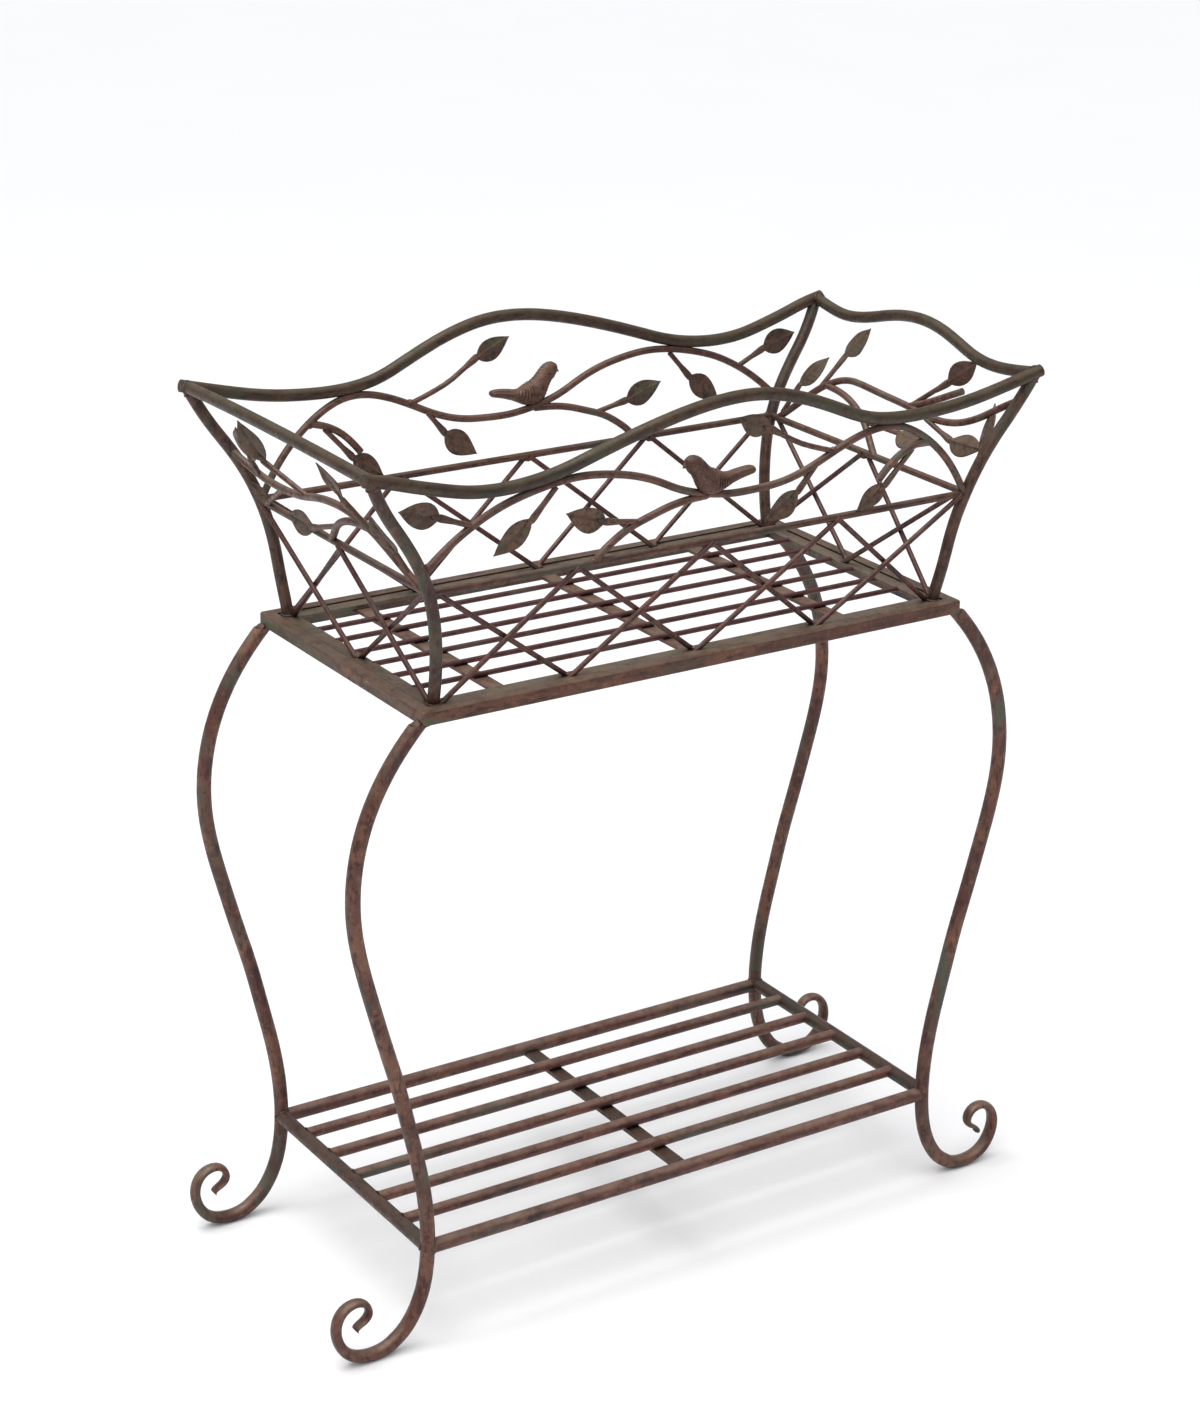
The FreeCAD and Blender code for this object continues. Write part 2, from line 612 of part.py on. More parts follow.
# solid stand-ins of the legs, to cope the rails without entering their bores
plug = [rod([(sx * x, sy * LEG_Y, z) for x, z in LEG_PATH[10:15]], LEG_D) for sx, sy in SGN.values()]
bore = SHELF_RAIL_D - 2 * LEG_WALL
rails = {}
for side, sy in (("front", -1), ("rear", 1)):
    rails[side] = trim(rod([(-SHELF_X, sy * LEG_Y, SHELF_RAIL_Z), (SHELF_X, sy * LEG_Y, SHELF_RAIL_Z)], SHELF_RAIL_D, bore), *plug)
    export("shelf_rail_" + side, rails[side])
solid_rails = [rod([(-SHELF_X, sy * LEG_Y, SHELF_RAIL_Z), (SHELF_X, sy * LEG_Y, SHELF_RAIL_Z)], SHELF_RAIL_D) for sy in (-1, 1)]
ends = {}
for side, sx in (("left", -1), ("right", 1)):
    e = rod([(sx * SHELF_X, -LEG_Y, SHELF_END_Z), (sx * SHELF_X, LEG_Y, SHELF_END_Z)], SHELF_END_D, SHELF_END_D - 2 * LEG_WALL)
    ends[side] = trim(e, *(plug + solid_rails))
    export("shelf_end_rail_" + side, ends[side])
solid_ends = [rod([(sx * SHELF_X, -LEG_Y, SHELF_END_Z), (sx * SHELF_X, LEG_Y, SHELF_END_Z)], SHELF_END_D) for sx in (-1, 1)]
slats = []
r = SHELF_SLAT_D / 2
for y in SHELF_SLAT_Y:
    # the tube stops just short of the middle of the end rail and is coped to it
    x0 = SHELF_X - 3.0
    s = rod([(-x0, y, SHELF_SLAT_Z), (x0, y, SHELF_SLAT_Z)], SHELF_SLAT_D, SHELF_SLAT_D - 2 * SHELF_SLAT_WALL)
    slats.append(trim(s, *solid_ends))
export("shelf_slats", Part.makeCompound(slats))
zs = SHELF_SLAT_Z - r
b = Part.makeBox(SHELF_STRAP_W, 2 * LEG_Y, SHELF_STRAP_T, V(-SHELF_STRAP_W / 2, -LEG_Y, zs - SHELF_STRAP_T))
export("shelf_cross_strap", trim(b, *solid_rails))
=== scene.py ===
import bpy, bmesh, math, random
import numpy as np
from mathutils import Vector, Matrix, noise


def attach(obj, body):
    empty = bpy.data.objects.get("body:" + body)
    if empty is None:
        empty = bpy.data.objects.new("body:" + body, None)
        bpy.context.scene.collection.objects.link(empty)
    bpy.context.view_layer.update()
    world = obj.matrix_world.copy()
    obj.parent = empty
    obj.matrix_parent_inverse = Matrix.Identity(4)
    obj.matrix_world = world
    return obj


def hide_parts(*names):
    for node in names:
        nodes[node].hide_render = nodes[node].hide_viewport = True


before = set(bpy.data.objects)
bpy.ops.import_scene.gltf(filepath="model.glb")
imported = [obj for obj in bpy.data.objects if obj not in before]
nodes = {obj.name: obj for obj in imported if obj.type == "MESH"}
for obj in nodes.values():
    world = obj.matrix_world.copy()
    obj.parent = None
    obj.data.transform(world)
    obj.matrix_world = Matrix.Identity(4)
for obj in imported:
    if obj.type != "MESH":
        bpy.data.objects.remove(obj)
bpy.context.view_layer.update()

# Looks of a rust-brown plant stand with a flared basket. Metres, +Z up, floor at z = 0.

scene = bpy.context.scene
MM = 0.001
V = Vector


# ------------------------------------------------------------------ materials
class Graph:
    """small helper to write shader nodes compactly"""

    def __init__(self, name):
        self.mat = bpy.data.materials.new(name)
        self.mat.use_nodes = True
        self.t = self.mat.node_tree
        self.bsdf = self.t.nodes["Principled BSDF"]

    def node(self, kind, **props):
        n = self.t.nodes.new(kind)
        for k, v in props.items():
            setattr(n, k, v)
        return n

    def link(self, a, b):
        self.t.links.new(a, b)

    def coords(self, scale=(1, 1, 1), rot=(0, 0, 0)):
        c = self.node("ShaderNodeTexCoord")
        m = self.node("ShaderNodeMapping")
        m.inputs["Scale"].default_value = scale
        m.inputs["Rotation"].default_value = rot
        self.link(c.outputs["Object"], m.inputs["Vector"])
        return m.outputs["Vector"]

    def noise(self, vec, scale, detail=4.0, rough=0.55, distort=0.0):
        n = self.node("ShaderNodeTexNoise")
        n.inputs["Scale"].default_value = scale
        n.inputs["Detail"].default_value = detail
        n.inputs["Roughness"].default_value = rough
        n.inputs["Distortion"].default_value = distort
        self.link(vec, n.inputs["Vector"])
        return n.outputs["Fac"]

    def ramp(self, fac, lo, hi, a=0.0, b=1.0):
        r = self.node("ShaderNodeMapRange", interpolation_type="SMOOTHSTEP")
        r.inputs["From Min"].default_value = lo
        r.inputs["From Max"].default_value = hi
        r.inputs["To Min"].default_value = a
        r.inputs["To Max"].default_value = b
        self.link(fac, r.inputs["Value"])
        return r.outputs["Result"]

    def math(self, op, a, b=None):
        m = self.node("ShaderNodeMath", operation=op)
        for i, x in enumerate((a, b)):
            if x is None:
                continue
            if isinstance(x, (int, float)):
                m.inputs[i].default_value = x
            else:
                self.link(x, m.inputs[i])
        return m.outputs[0]

    def mix(self, fac, a, b):
        m = self.node("ShaderNodeMix", data_type="RGBA")
        if isinstance(fac, (int, float)):
            m.inputs[0].default_value = fac
        else:
            self.link(fac, m.inputs[0])
        for sock, x in ((m.inputs[6], a), (m.inputs[7], b)):
            if isinstance(x, tuple):
                sock.default_value = (*x, 1.0)
            else:
                self.link(x, sock)
        return m.outputs[2]


DARK = (0.0105, 0.0125, 0.0110)


def patina(name, rust, maroon, verd, pale, verd_amount=0.5, streak=(1, 1, 1), fine=1.0,
           rough=0.44, metal=0.2, edge=0.0, bump=1.0, grain=1.0, dark_amount=0.45):
    """rust-brown paint brushed over with verdigris, worn lighter on edges, and lighter on upper faces with dust and a
    painted highlight from above
    """
    g = Graph(name)
    v = g.coords()
    vs = g.coords(scale=streak)
    # broad drift from rust to maroon
    broad = g.noise(v, 17.0, 5.0, 0.6, 0.6)
    col = g.mix(g.ramp(broad, 0.36, 0.64), maroon, rust)
    # mottling a few millimetres across
    mott = g.noise(v, 150.0 * fine, 6.0, 0.65, 0.4)
    dark = tuple(c * 0.52 for c in maroon)
    col = g.mix(g.ramp(mott, 0.53, 0.68, 0.0, 0.80), col, dark)
    light = tuple(min(1.0, c * 1.75) for c in rust)
    col = g.mix(g.ramp(mott, 0.30, 0.45, 0.50, 0.0), col, light)
    # long strokes of the brush, darker and lighter
    stroke = g.noise(vs, 230.0, 4.0, 0.6, 0.1)
    col = g.mix(g.ramp(stroke, 0.50, 0.62, 0.0, 0.75), col, tuple(c * 0.45 for c in maroon))
    # verdigris brushed on in streaks, broken up finely
    patch = g.noise(vs, 30.0, 5.0, 0.62, 0.9)
    brush = g.noise(vs, 120.0, 5.0, 0.7, 0.2)
    vm = g.math("MULTIPLY", g.ramp(patch, 0.60 - 0.22 * verd_amount, 0.72 - 0.14 * verd_amount),
                g.ramp(brush, 0.36, 0.60, 0.15, 1.0))
    col = g.mix(vm, col, verd)
    # nearly black smears of the same patina
    smear = g.noise(g.coords(scale=tuple(c * 1.0 for c in streak), rot=(0.4, 0.9, 0.2)), 34.0, 5.0, 0.66, 0.7)
    dm = g.math("MULTIPLY", g.ramp(smear, 0.66 - 0.16 * dark_amount, 0.76 - 0.14 * dark_amount), g.ramp(brush, 0.30, 0.58, 0.35, 1.0))
    col = g.mix(dm, col, DARK)
    # faces that look up are lightened towards pale, broken up by noise: partly dust, partly a painted highlight where
    # light from above falls
    geo = g.node("ShaderNodeNewGeometry")
    sep = g.node("ShaderNodeSeparateXYZ")
    g.link(geo.outputs["Normal"], sep.inputs[0])
    wear_dust_highlight_noise = g.noise(v, 60.0, 6.0, 0.7, 0.3)
    up = g.math("MULTIPLY", g.ramp(sep.outputs["Z"], 0.25, 0.95), g.ramp(wear_dust_highlight_noise, 0.34, 0.62, 0.30, 0.85))
    col = g.mix(up, col, pale)
    # specks where the paint is chipped
    vor = g.node("ShaderNodeTexVoronoi")
    vor.inputs["Scale"].default_value = 420.0
    vor.inputs["Randomness"].default_value = 1.0
    g.link(v, vor.inputs["Vector"])
    gate = g.noise(v, 75.0, 3.0, 0.6)
    speck = g.math("MULTIPLY", g.ramp(vor.outputs["Distance"], 0.10, 0.20, 1.0, 0.0), g.ramp(gate, 0.55, 0.66))
    col = g.mix(g.math("MULTIPLY", speck, 0.6), col, tuple(c * 0.25 for c in maroon))
    if edge:
        bev = g.node("ShaderNodeBevel", samples=4)
        bev.inputs["Radius"].default_value = 0.0011
        dot = g.node("ShaderNodeVectorMath", operation="DOT_PRODUCT")
        g.link(bev.outputs["Normal"], dot.inputs[0])
        g.link(geo.outputs["Normal"], dot.inputs[1])
        em = g.math("MULTIPLY", g.ramp(dot.outputs["Value"], 0.90, 0.995, 1.0, 0.0), g.ramp(wear_dust_highlight_noise, 0.38, 0.58, 0.1, edge))
        col = g.mix(em, col, pale)
    # painted shade: colour darkened by ambient occlusion in crevices and between pieces, standing in for the shade
    # there, with some grime
    ao = g.node("ShaderNodeAmbientOcclusion", samples=6, inside=False)
    ao.inputs["Distance"].default_value = 0.009
    occ = g.ramp(ao.outputs["AO"], 0.25, 0.85, 0.26, 1.0)
    m = g.node("ShaderNodeMix", data_type="RGBA", blend_type="MULTIPLY")
    m.inputs[0].default_value = 1.0
    g.link(col, m.inputs[6])
    g.link(occ, m.inputs[7])
    col = m.outputs[2]
    g.link(col, g.bsdf.inputs["Base Color"])
    # sheen of the paint: verdigris is duller, bare rubbed paint shinier
    r = g.math("ADD", g.ramp(mott, 0.3, 0.7, rough - 0.09, rough + 0.13), g.math("MULTIPLY", vm, 0.14))
    g.link(r, g.bsdf.inputs["Roughness"])
    g.bsdf.inputs["Metallic"].default_value = metal
    g.bsdf.inputs["Specular IOR Level"].default_value = 0.42
    # relief: grain of the paint, brush ridges and shallow dents
    grain_n = g.noise(v, 900.0 * grain, 3.0, 0.6)
    b1 = g.node("ShaderNodeBump")
    b1.inputs["Strength"].default_value = 0.30 * bump
    b1.inputs["Distance"].default_value = 0.00022
    g.link(grain_n, b1.inputs["Height"])
    b2 = g.node("ShaderNodeBump")
    b2.inputs["Strength"].default_value = 0.45 * bump
    b2.inputs["Distance"].default_value = 0.0005
    g.link(g.noise(v, 95.0, 4.0, 0.55, 0.3), b2.inputs["Height"])
    g.link(b1.outputs["Normal"], b2.inputs["Normal"])
    b3 = g.node("ShaderNodeBump")
    b3.inputs["Strength"].default_value = 0.5 * bump
    b3.inputs["Distance"].default_value = 0.00018
    g.link(g.math("SUBTRACT", vm, speck), b3.inputs["Height"])
    g.link(b2.outputs["Normal"], b3.inputs["Normal"])
    g.link(b3.outputs["Normal"], g.bsdf.inputs["Normal"])
    return g.mat


RUST = (0.128, 0.0500, 0.0285)
MAROON = (0.066, 0.0200, 0.0155)
VERD = (0.062, 0.060, 0.040)
PALE = (0.215, 0.140, 0.100)

# streak runs along the piece: the brush was drawn along each rod
MAT = {
    "long": patina("patina_long_rails", RUST, MAROON, VERD, PALE, 0.40, (0.25, 1, 1)),
    "side": patina("patina_side_rails", RUST, MAROON, VERD, PALE, 0.40, (1, 0.25, 1)),
    "upright": patina("patina_uprights", (0.135, 0.058, 0.0355), MAROON, (0.058, 0.066, 0.048), PALE, 0.55, (1, 1, 0.25)),
    "post": patina("patina_posts", (0.080, 0.038, 0.0225), (0.040, 0.0150, 0.0105), (0.044, 0.048, 0.032), (0.140, 0.100, 0.070), 0.55, (1, 1, 0.25)),
    "mid": patina("patina_mid_rails", (0.094, 0.038, 0.0225), (0.048, 0.0155, 0.0120), (0.048, 0.048, 0.032), (0.150, 0.100, 0.072), 0.45, (0.25, 0.6, 1)),
    "rim": patina("patina_rims", (0.058, 0.030, 0.0150), (0.036, 0.0165, 0.0105), (0.044, 0.042, 0.024), (0.085, 0.062, 0.036), 0.70, (0.3, 0.6, 1), dark_amount=0.45),
    "frame_x": patina("patina_frame_long", (0.120, 0.047, 0.0260), (0.072, 0.026, 0.0160), (0.072, 0.068, 0.042), (0.165, 0.110, 0.075), 0.55, (0.2, 1, 1), edge=0.75),
    # painted light: the short frame sides take a lighter, less red copy of the long sides' paint, standing in for light
    # falling on the left face
    "frame_y": patina("patina_frame_short_painted_lit", (0.128, 0.056, 0.0330), (0.074, 0.030, 0.0200), (0.072, 0.068, 0.042), (0.165, 0.110, 0.075), 0.55, (1, 0.2, 1), edge=0.75),
    # darker and greener than the frame: partly the ring's own verdigris, partly painted shade standing in for the shade
    # of the groove and of the ring's inner band
    "ring": patina("patina_tray_ring_and_painted_shade", (0.104, 0.048, 0.028), (0.060, 0.026, 0.0165), (0.078, 0.076, 0.050), (0.160, 0.118, 0.080), 0.85, (0.3, 0.5, 1), edge=0.7, dark_amount=0.6),
    "tray": patina("patina_tray_rods", (0.078, 0.0205, 0.0185), (0.046, 0.0115, 0.0115), VERD, (0.105, 0.048, 0.042), 0.15, (0.3, 1, 1), rough=0.5, dark_amount=0.3),
    "lattice": patina("patina_lattice", (0.092, 0.0300, 0.0225), (0.052, 0.0145, 0.0130), VERD, (0.140, 0.076, 0.058), 0.3, (1, 1, 0.5), rough=0.48),
    "vine": patina("patina_vines", (0.115, 0.050, 0.033), MAROON, (0.066, 0.068, 0.048), (0.175, 0.115, 0.085), 0.5, (0.4, 1, 1)),
    "leaf": patina("patina_leaves", (0.102, 0.052, 0.031), (0.056, 0.026, 0.0175), (0.072, 0.066, 0.040), (0.145, 0.098, 0.066), 0.55, (1, 1, 1), fine=1.3, rough=0.52, bump=1.3),
    "bird": patina("patina_bird", (0.122, 0.058, 0.037), (0.066, 0.027, 0.0190), (0.078, 0.066, 0.044), (0.165, 0.098, 0.068), 0.3, (1, 1, 1), fine=1.2, rough=0.5, bump=1.2, dark_amount=0.3),
    "shelf_x": patina("patina_shelf_rods", (0.132, 0.054, 0.0370), (0.076, 0.0260, 0.0210), (0.064, 0.066, 0.050), (0.225, 0.140, 0.108), 0.42, (0.2, 1, 1), dark_amount=0.55),
    "shelf_y": patina("patina_shelf_ends", (0.078, 0.036, 0.0245), (0.040, 0.0165, 0.0130), (0.042, 0.046, 0.034), (0.085, 0.054, 0.040), 0.55, (1, 0.2, 1), dark_amount=0.6),
    "weld": patina("patina_welds", (0.096, 0.041, 0.026), (0.050, 0.019, 0.0150), (0.056, 0.052, 0.036), (0.140, 0.088, 0.063), 0.3, (1, 1, 1), fine=1.5, rough=0.55, bump=1.5),
}


def finish_for(n):
    if n.startswith("leg_"):
        return "upright"
    if n.startswith("basket_post"):
        return "post"
    if n.startswith("top_frame"):
        return "frame_x" if n.endswith(("front", "rear")) else "frame_y"
    if n.startswith("tray_ring"):
        return "ring"
    if n.startswith("tray_straps"):
        return "side"
    if n.startswith("tray_slats"):
        return "tray"
    if n.startswith("rim_"):
        return "rim"
    if n.startswith("mid_rail"):
        return "mid"
    if n.startswith("lattice"):
        return "lattice"
    if n.startswith(("vine", "leaf_stems")):
        return "vine"
    if n.startswith("leaves"):
        return "leaf"
    if n.startswith("bird"):
        return "bird"
    if n in ("shelf_end_rail_left", "shelf_end_rail_right", "shelf_cross_strap"):
        return "shelf_y"
    return "shelf_x"


for n, o in nodes.items():
    o.data.materials.clear()
    o.data.materials.append(MAT[finish_for(n)])
    for s in o.material_slots:
        s.material = MAT[finish_for(n)]


def piece(name, me, mat, stands_for=()):
    o = bpy.data.objects.new(name, me)
    scene.collection.objects.link(o)
    if mat:
        me.materials.append(MAT[mat])
    for p in me.polygons:
        p.use_smooth = True
    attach(o, "root")
    if stands_for:
        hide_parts(*stands_for)
    return o


# ------------------------------------------------------------------ side surfaces of the basket, as the frame was set out
FLARE = [(597.7, 260.2, 128.5), (629.4, 262.3, 136.6), (666.8, 266.5, 142.7),
         (701.3, 275.5, 148.0), (741.4, 295.4, 152.3), (778.8, 320.7, 157.3),
         (805.8, 334.9, 162.5)]


def flare(z):
    F = FLARE
    i = 0
    while i < len(F) - 2 and z > F[i + 1][0]:
        i += 1
    a, b = F[i], F[i + 1]
    t = (z - a[0]) / (b[0] - a[0])
    return a[1] + t * (b[1] - a[1]), a[2] + t * (b[2] - a[2])


SURF = {
    "front": lambda h, z, out=0.0: V((h, -(flare(z)[1] + out), z)),
    "rear": lambda h, z, out=0.0: V((-h, flare(z)[1] + out, z)),
    "left": lambda h, z, out=0.0: V((-(flare(z)[0] + out), h, z)),
    "right": lambda h, z, out=0.0: V((flare(z)[0] + out, h, z)),
}


def local(side, h, z):
    f = SURF[side]
    c = f(h, z)
    e = (f(h + 1, z) - c).normalized()
    u = (f(h, z + 4) - f(h, z - 4)).normalized()
    n = (f(h, z, 1) - c).normalized()
    n = (n - u * n.dot(u)).normalized()
    return c, e, u, n


# ------------------------------------------------------------------ leaves: pressed sheet with a crease along the midrib
# tip, base, end of stem, half width on either side, turn about the midrib, distance outward
LEAVES = {
    "front": [((-308, 776), (-270, 765), (-240, 753), 11.4, 12.0, 0, 1.0),
              ((-216, 722), (-183, 749), (-161, 774), 10.3, 11.4, 0, 1.0),
              ((-150, 749), (-111, 736), (-78, 730), 12.4, 10.2, 0, 1.0),
              ((12, 810), (47, 795), (74, 780), 11.4, 8.6, 0, 1.0),
              ((54, 709), (85, 732), (102, 752), 12.2, 10.8, 0, 1.0),
              ((151, 703), (180, 723), (207, 752), 9.8, 10.3, 0, 1.0)],
    "left": [((72.0, 797.2), (64.1, 761.9), (23.0, 739.5), 10.4, 12.9, 33, 1.0),
             ((139.6, 721.1), (127.8, 703.0), (76.0, 730.0), 7.3, 5.8, 36, 1.0),
             ((78.5, 708.9), (31.7, 709.2), (-17.0, 722.5), 11.5, 10.5, 25, 4.2),
             ((-69.0, 798.1), (-83.2, 768.5), (-89.0, 739.0), 7.8, 12.9, 7, 1.0),
             ((-116.2, 764.4), (-118.0, 727.9), (-128.0, 703.0), 11.3, 13.3, 10, 1.0),
             ((82.7, 789.2), (105.4, 752.2), (114.0, 733.5), 11.0, 14.5, 2, 1.0)],
    "right": [((-85.2, 798.3), (-61.0, 775.7), (-33.9, 750.0), 10.1, 11.5, 34, 1.0),
              ((-142.8, 736.7), (-100.5, 734.6), (-60.3, 743.7), 12.4, 11.4, -19, 1.0),
              ((-131.5, 773.0), (-144.3, 734.5), (-148.0, 722.0), 10.8, 13.0, -22, 1.0),
              ((69, 796), (88, 768), (96, 736), 10.8, 11.6, 0, 1.0),
              ((-78.4, 725.1), (-31.1, 725.6), (14.5, 724.1), 14.8, 11.7, -44, 1.0),
              ((108, 763), (126, 734), (133, 706), 11.4, 10.6, 0, 1.0)],
}
LEAVES["rear"] = LEAVES["front"]
# half width of a leaf along its midrib, base to tip
PROFILE = [(0.0, 0.16), (0.05, 0.34), (0.12, 0.60), (0.22, 0.84), (0.34, 0.98), (0.44, 1.0), (0.56, 0.93),
           (0.68, 0.76), (0.79, 0.53), (0.88, 0.31), (0.95, 0.12), (1.0, 0.02)]
PX = [p[0] for p in PROFILE]
PY = [p[1] for p in PROFILE]


def leaf_mesh(bm, side, L, rng):
    tip, base, stem, w1, w2, turn, out = L
    ch, cz = (tip[0] + base[0]) / 2.0, (tip[1] + base[1]) / 2.0
    c, e, u, n = local(side, ch, cz)
    k = 1.0 / max(0.3, u.z)

    def m(p):
        return c + e * (p[0] - ch) + u * ((p[1] - cz) * k) + n * (out + 0.9)
    a, d = m(tip), m(base)
    ax = a - d
    q = n.cross(ax.normalized()).normalized()
    ca, sa = math.cos(math.radians(turn)), math.sin(math.radians(turn))
    q, n = q * ca + n * sa, n * ca - q * sa
    fold = rng.uniform(0.16, 0.34)
    curl = rng.uniform(-1.6, 2.2)
    twist = rng.uniform(-0.10, 0.10)
    ripple = rng.uniform(0.25, 0.6)
    ph = rng.uniform(0, 6.28)
    NU, NV = 26, 9
    thick = 0.62
    grid = {}
    for lay in (0, 1):
        for i in range(NU + 1):
            f = i / NU
            w = float(np.interp(f, PX, PY))
            for j in range(-NV, NV + 1):
                t = j / NV
                ww = w1 if t > 0 else w2
                s = t * ww * w
                # the two halves rise from a pinched midrib, veins are shallow ribs running to the edge
                rise = fold * abs(s) * (1.0 - 0.25 * abs(t))
                vein = 0.20 * math.cos((f * 1.0 - abs(t) * 0.16) * 6.2832 * 6.5) * math.sin(math.pi * min(1, abs(t) * 1.05)) * w
                rib = -0.75 * math.exp(-(s / 0.75) ** 2) * min(1.0, w * 3.0)
                z = rise + vein + rib + curl * (f - 0.35) ** 2 * 2.0 + twist * s * (f - 0.5) * 2 \
                    + ripple * math.sin(f * 9.0 + ph + (1.3 if t > 0 else 0)) * t * t * w
                # edges thin out
                th = thick * (1.0 - 0.55 * abs(t) ** 3)
                off = th if lay == 0 else -th
                p = d + ax * f + q * s + n * (z - 0.9 + off)
                grid[lay, i, j] = bm.verts.new(p * MM)
    for i in range(NU):
        for j in range(-NV, NV):
            bm.faces.new((grid[0, i, j], grid[0, i + 1, j], grid[0, i + 1, j + 1], grid[0, i, j + 1]))
            bm.faces.new((grid[1, i, j], grid[1, i, j + 1], grid[1, i + 1, j + 1], grid[1, i + 1, j]))
        for j in (-NV, NV):
            a0, a1, b0, b1 = grid[0, i, j], grid[0, i + 1, j], grid[1, i, j], grid[1, i + 1, j]
            bm.faces.new((a0, b0, b1, a1) if j < 0 else (a0, a1, b1, b0))
    for i in (0, NU):
        for j in range(-NV, NV):
            a0, a1, b0, b1 = grid[0, i, j], grid[0, i, j + 1], grid[1, i, j], grid[1, i, j + 1]
            bm.faces.new((a0, a1, b1, b0) if i == 0 else (a0, b0, b1, a1))


def neck_mesh(bm, side, L):
    """stem flattened and widened where it runs into the leaf"""
    tip, base, stem, w1, w2, turn, out = L
    ch, cz = (tip[0] + base[0]) / 2.0, (tip[1] + base[1]) / 2.0
    c, e, u, n = local(side, ch, cz)
    d = c + e * (base[0] - ch) + u * ((base[1] - cz) / max(0.3, u.z)) + n * (out + 0.9)
    a = c + e * (tip[0] - ch) + u * ((tip[1] - cz) / max(0.3, u.z)) + n * (out + 0.9)
    t = (SURF[side](*stem) - d).normalized()
    ax = (a - d).normalized()
    q = n.cross(ax).normalized()
    ca, sa = math.cos(math.radians(turn)), math.sin(math.radians(turn))
    nl = n * ca - q * sa
    rings = []
    for s_, hw, ht in ((-8.0, 0.5, 0.5), (-6.0, 1.5, 1.0), (-3.0, 2.7, 1.5), (0.0, 3.5, 1.8), (3.0, 3.6, 2.0), (7.0, 3.2, 2.3), (11.0, 2.8, 2.5), (14.0, 2.5, 2.5), (15.0, 2.3, 2.3)):
        v = -ax if s_ < 0 else (-ax).lerp(t, min(1.0, s_ / 3.0)).normalized()
        pc = d + (ax * -s_ if s_ < 0 else t * s_)
        x = nl.cross(v).normalized()
        y = v.cross(x).normalized()
        rings.append([pc + x * (hw * math.cos(6.2832 * j / 16)) + y * (ht * math.sin(6.2832 * j / 16)) for j in range(16)])
    lofted(bm, rings)


def lofted(bm, rings, cap=True):
    rows = [[bm.verts.new(p * MM) for p in r] for r in rings]
    for a, b in zip(rows, rows[1:]):
        m = len(a)
        for i in range(m):
            bm.faces.new((a[i], a[(i + 1) % m], b[(i + 1) % m], b[i]))
    if cap:
        bm.faces.new(rows[0][::-1])
        bm.faces.new(rows[-1])
    return rows


for side in ("front", "rear", "left", "right"):
    rng = random.Random({"front": 3, "rear": 8, "left": 15, "right": 21}[side])
    bm = bmesh.new()
    for L in LEAVES[side]:
        leaf_mesh(bm, side, L, rng)
        neck_mesh(bm, side, L)
    bmesh.ops.recalc_face_normals(bm, faces=bm.faces)
    me = bpy.data.meshes.new("pressed_leaves_" + side)
    bm.to_mesh(me)
    bm.free()
    piece("pressed_leaves_" + side, me, "leaf", ("leaves_" + side,))


# ------------------------------------------------------------------ birds: small castings with ribbed wings
def spline(P, n):
    """Catmull-Rom samples through rows of numbers"""
    P = np.array(P, float)
    P = np.vstack([2 * P[0] - P[1], P, 2 * P[-1] - P[-2]])
    out = []
    m = len(P) - 3
    for k in range(n + 1):
        x = k / n * m
        i = min(int(x), m - 1)
        t = x - i
        p0, p1, p2, p3 = P[i:i + 4]
        out.append(0.5 * (2 * p1 + (p2 - p0) * t + (2 * p0 - 5 * p1 + 4 * p2 - p3) * t * t + (3 * p1 - p0 - 3 * p2 + p3) * t ** 3))
    return out


# along the side, height, half height, half thickness, from beak to tail
BODY = [(-36.9, 775.3, 0.8, 0.9), (-36.2, 775.4, 3.2, 2.9), (-34.2, 775.5, 5.6, 4.9), (-31.0, 775.1, 7.4, 6.3), (-27.5, 773.6, 8.1, 7.0),
        (-23.5, 770.3, 8.1, 7.1), (-19.4, 765.5, 8.7, 7.8), (-15.5, 761.0, 10.1, 8.8), (-11.8, 757.5, 11.1, 9.4), (-7.5, 755.8, 11.0, 9.3),
        (-3.0, 755.3, 10.2, 8.7), (2.0, 755.2, 8.3, 7.8), (6.5, 755.7, 6.5, 6.8), (12.0, 757.0, 5.2, 6.0), (18.0, 758.5, 4.6, 5.6),
        (24.0, 759.7, 4.2, 5.4), (30.0, 760.5, 3.7, 5.2), (34.0, 760.8, 2.9, 4.4), (35.6, 760.8, 1.0, 2.0)]


